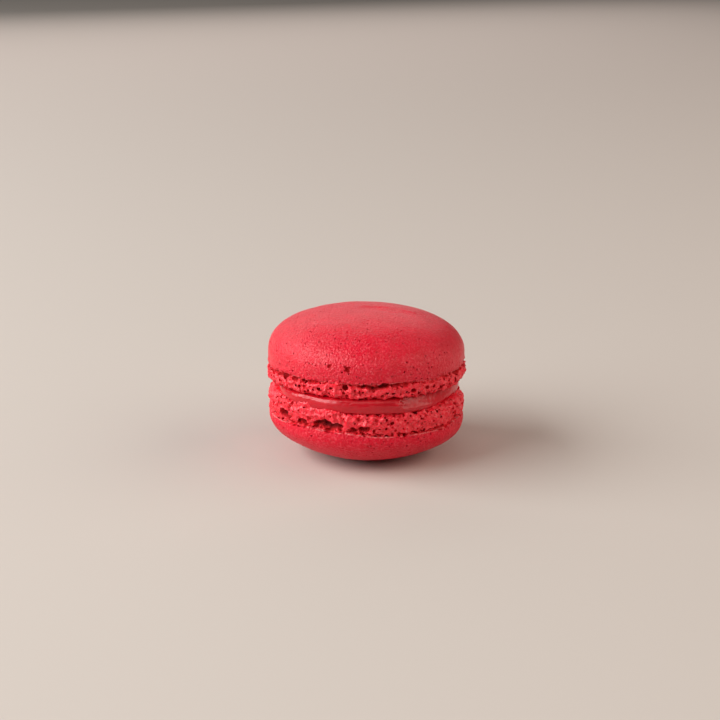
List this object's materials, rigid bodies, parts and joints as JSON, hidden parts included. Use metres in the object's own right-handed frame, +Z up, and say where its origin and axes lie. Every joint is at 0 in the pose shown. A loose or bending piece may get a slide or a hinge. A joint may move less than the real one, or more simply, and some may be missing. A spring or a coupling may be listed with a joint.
{
  "type": "french macaron",
  "caption": "Round red almond-meringue biscuit: a smooth domed shell above and below, each with a frothy ruffled foot, and a glossy filling between them.",
  "frame": {"origin": "middle of the macaron's outline, on the flat spot that the lower shell rests on", "axes": "+Z is up, through both domes; -Y is the side that the picture shows, and +X is to its right"},
  "size_m": [0.046, 0.046, 0.0334],
  "materials": {
    "baked_shell": "matt, very fine-grained red meringue with a satin skin",
    "soft_filling": "smooth and glossy, slightly see-through deep red"
  },
  "bodies": {
    "root": {"lower_shell": "baked_shell", "filling": "soft_filling", "upper_shell": "baked_shell"}
  },
  "joints": []
}
